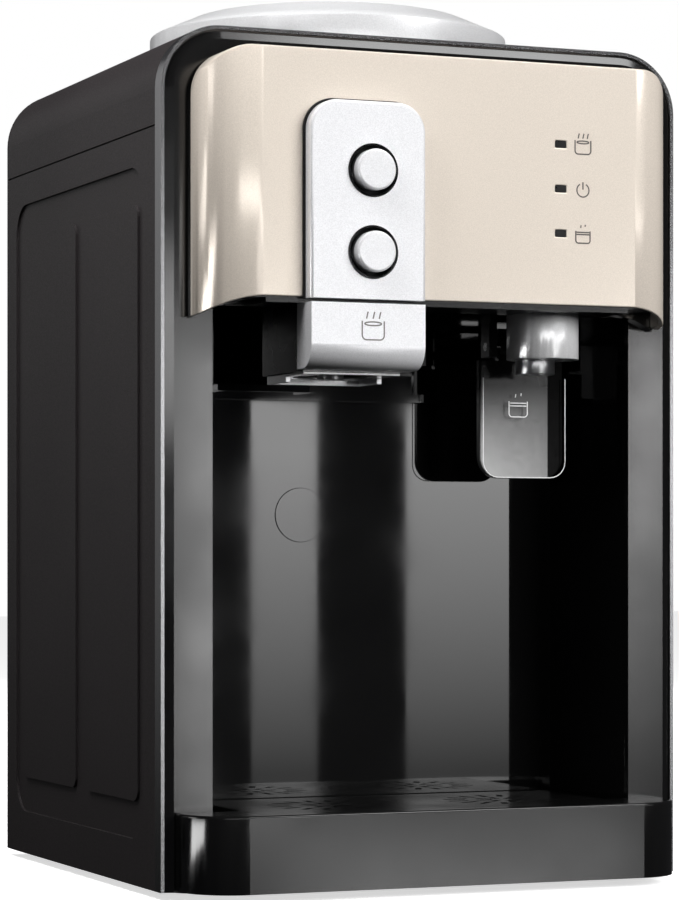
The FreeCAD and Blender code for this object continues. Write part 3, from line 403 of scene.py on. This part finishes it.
MATERIALS = {
    "black_gloss": gloss_black("black_gloss", rough=(0.1, 0.16)),
    "liner_gloss": gloss_black("liner_gloss"),
    "backing_black": gloss_black("backing_black", rough=(0.2, 0.3)),
    "tray_gloss": gloss_black("tray_gloss", rough=(0.12, 0.18), wave=0.000004),
    "grille_black": gloss_black("grille_black", rough=(0.15, 0.25)),
    "gasket_black": rubber("gasket_black", (0.01, 0.01, 0.01)),
    "charcoal_plastic": textured_plastic("charcoal_plastic", (0.034, 0.0300, 0.0310), 0.45, sheen=0.2),
    "rear_charcoal": textured_plastic("rear_charcoal", (0.034, 0.031, 0.032), 0.6, sheen=0.2),
    "base_plastic": textured_plastic("base_plastic", (0.02, 0.02, 0.02), 0.6),
    "inner_plastic": textured_plastic("inner_plastic", (0.03, 0.03, 0.032), 0.5, 600),
    "foot_rubber": rubber("foot_rubber", (0.02, 0.02, 0.02)),
    "hose_silicone": rubber("hose_silicone", (0.6, 0.58, 0.52)),
    "insulation_foam": rubber("insulation_foam", (0.6, 0.58, 0.52)),
    "champagne_paint": flake_paint("champagne_paint", (0.80, 0.715, 0.625), 0.25, 0.2),
    "silver_paint": flake_paint("silver_paint", (0.86, 0.86, 0.88), 0.3, 0.3, depth=0.000008),
    "tap_silver": flake_paint("tap_silver", (0.92, 0.92, 0.93), 0.45, 0.25, depth=0.000003),
    "button_silver": flake_paint("button_silver", (0.88, 0.88, 0.9), 0.3, 0.25, depth=0.000005),
    "collar_silver": flake_paint("collar_silver", (0.78, 0.78, 0.79), 0.35, 0.3, depth=0.00001),
    "satin_silver": flake_paint("satin_silver", (0.42, 0.42, 0.43), 0.95, 0.24, depth=0),
    "bezel_chrome": metal("bezel_chrome", (0.16, 0.16, 0.165), (0.1, 0.2)),
    "outlet_chrome": flake_paint("outlet_chrome", (0.85, 0.85, 0.86), 0.55, 0.2, depth=0.000002),
    "nozzle_steel": metal("nozzle_steel", (0.65, 0.65, 0.66), (0.3, 0.4), (1, 1, 1)),
    "spring_steel": metal("spring_steel", (0.6, 0.6, 0.6)),
    "tank_steel": metal("tank_steel", (0.55, 0.55, 0.55), (0.25, 0.4)),
    "window_plastic": textured_plastic("window_plastic", (0.008, 0.008, 0.008), 0.35, 300),
    "board_green": textured_plastic("board_green", (0.03, 0.16, 0.07), 0.4, 400),
    "paddle_smoke": smoked_plastic_with_painted_light("paddle_smoke"),
    "probe_plastic": textured_plastic("probe_plastic", (0.75, 0.75, 0.75), 0.35, 500),
}


ROUNDED = {"upper_fascia": 0.9, "control_strip": 0.5, "hot_tap_housing": 0.8, "cold_tap_cover": 0.5,
           "drip_tray": 0.7, "cold_nozzle": 0.4, "cold_paddle": 0.5,
           "hot_outlet_ring": 0.3, "side_panel_left": 0.35, "side_panel_right": 0.35,
           "alcove_liner": 0.25, "bottle_collar": 0.8, "rear_panel": 0.6}


def round_edges(node, width):
    """Joins the faces of a carried-over mesh and softens its sharp edges."""
    weld = node.modifiers.new("weld", "WELD")
    weld.merge_threshold = 0.00001
    bevel = node.modifiers.new("bevel", "BEVEL")
    bevel.width = width * MM
    bevel.segments = 2
    bevel.limit_method = "ANGLE"
    bevel.angle_limit = math.radians(40)
    bevel.use_clamp_overlap = True
    bevel.harden_normals = True


def dress_nodes():
    """Gives each carried-over node its finish and softens the edges that show."""
    slots = {row["node"]: row["material_slot"] for row in frame["record"]["subparts"]}
    for name, node in frame["nodes"].items():
        finish = MATERIALS[slots[name]]
        if not node.material_slots:
            node.data.materials.append(finish)
        for place in node.material_slots:
            place.material = finish
        if name in ROUNDED:
            round_edges(node, ROUNDED[name])


# ---------------------------------------------------------------- printed symbols and a painted edge highlight

def print_material(name, colour):
    paint = Paint(name, IOR=1.45)
    fine = paint.noise(900, 2)
    darker, lighter = (tuple(c * factor for c in colour) for factor in (0.9, 1.1))
    paint.feed("Base Color", paint.blend(fine, darker, lighter))
    paint.feed("Roughness", paint.spread(fine, 0.35, 0.55))
    return paint.material


def arc(x, z, radius_x, radius_z, start, end, steps=14):
    turns = [math.radians(start + (end - start) * step / steps) for step in range(steps + 1)]
    return [(x + radius_x * math.cos(turn), z + radius_z * math.sin(turn)) for turn in turns]


def cup(width, height, corner):
    """The outline of an open cup, its foot at zero."""
    half = width / 2
    return ([(-half, height), (-half, corner)] + arc(corner - half, corner, corner, corner, 180, 270, 6)
            + arc(half - corner, corner, corner, corner, 270, 360, 6) + [(half, height)])


def symbol(name, strokes, centre, scale, width, material, body):
    """Fine raised lines on an upright face; the strokes are in millimetres about the centre."""
    thick = 0.06 * MM
    corners, faces = [], []
    for stroke in strokes:
        points = [Vector((x * scale, 0, z * scale)) * MM for x, z in stroke]
        first = len(corners)
        for index, point in enumerate(points):
            before = points[max(index - 1, 0)]
            after = points[min(index + 1, len(points) - 1)]
            along = (after - before).normalized()
            side = Vector((-along.z, 0, along.x)) * (width * MM / 2)
            for offset, lift in ((side, 0), (-side, 0), (-side, -thick), (side, -thick)):
                corners.append(Vector(centre) + point + offset + Vector((0, lift, 0)))
            if index:
                start = first + 4 * (index - 1)
                for edge in range(4):
                    turn = (edge + 1) % 4
                    faces.append((start + edge, start + turn, start + 4 + turn, start + 4 + edge))
        last = len(corners) - 4
        faces.append((first, first + 1, first + 2, first + 3))
        faces.append((last + 3, last + 2, last + 1, last))
    mesh = bpy.data.meshes.new(name)
    mesh.from_pydata(corners, [], faces)
    mesh.materials.append(material)
    piece = bpy.data.objects.new(name, mesh)
    scene.collection.objects.link(piece)
    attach(piece, body)


STEAM = [[(x - 0.4, 9.2), (x - 0.1, 10.2), (x + 0.1, 11.2), (x + 0.4, 12.2)] for x in (-2.8, 0.3, 3.2)]
HOT_CUP = [cup(10.4, 8.2, 2.0), arc(0, 7.0, 4.0, 0.8, 0, 360, 20)] + STEAM
DROPS = [[(-1.5, 9.0), (-1.2, 10.6)], [(1.4, 9.8), (1.6, 11.0)]]
COLD_CUP = [cup(9.4, 7.2, 1.6), [(-4.2, 6.4), (4.2, 6.4)], [(-4.2, 5.1), (4.2, 5.1)]] + DROPS
POWER = [arc(0, 5.0, 4.0, 4.0, 120, 420, 24), [(0, 5.4), (0, 9.8)]]


def add_symbols():
    grey = print_material("symbol_grey", (0.17, 0.16, 0.15))
    ink = print_material("symbol_ink", (0.09, 0.08, 0.075))
    # The pale ink serves the printed cold cup and the painted edge highlight on the paddle.
    pale = print_material("pale_print_and_painted_highlight", (0.85, 0.85, 0.85))
    face = low("hot_tap_housing").y
    middle = (low("hot_button").x + high("hot_button").x) / 2
    symbol("hot_cup", HOT_CUP, (middle, face, low("hot_tap_housing").z + 0.0125), 1.0, 0.6, grey, "casing")
    paddle_face = low("cold_paddle").y
    paddle_middle = (low("cold_paddle").x + high("cold_paddle").x) / 2
    symbol("cold_cup", COLD_CUP, (paddle_middle - 0.0032, paddle_face, low("cold_paddle").z + 0.0285),
           1.0, 0.5, pale, "paddle")
    # Painted highlight: a pale line just inside the paddle's sides and bottom stands for light on its
    # edge.
    half = (high("cold_paddle").x - low("cold_paddle").x) / 2 / MM - 0.45
    painted_rim_highlight = cup(2 * half, 46.0, 7.6)
    symbol("painted_paddle_edge_highlight", [painted_rim_highlight], (paddle_middle, paddle_face, low("cold_paddle").z + 0.00045),
           1.0, 0.45, pale, "paddle")
    fascia_face = low("upper_fascia").y
    across = high("indicator_windows").x + 0.0083
    tops = (high("indicator_windows").z, low("indicator_windows").z)
    heights = (tops[0] - 0.0016, (tops[0] + tops[1]) / 2, tops[1] + 0.0016)
    lamps = (("lamp_hot", HOT_CUP), ("lamp_power", POWER), ("lamp_cold", COLD_CUP))
    for (name, strokes), height in zip(lamps, heights):
        symbol(name, strokes, (across, fascia_face, height - 0.0040), 0.76, 0.62, ink, "casing")


dress_nodes()
add_symbols()
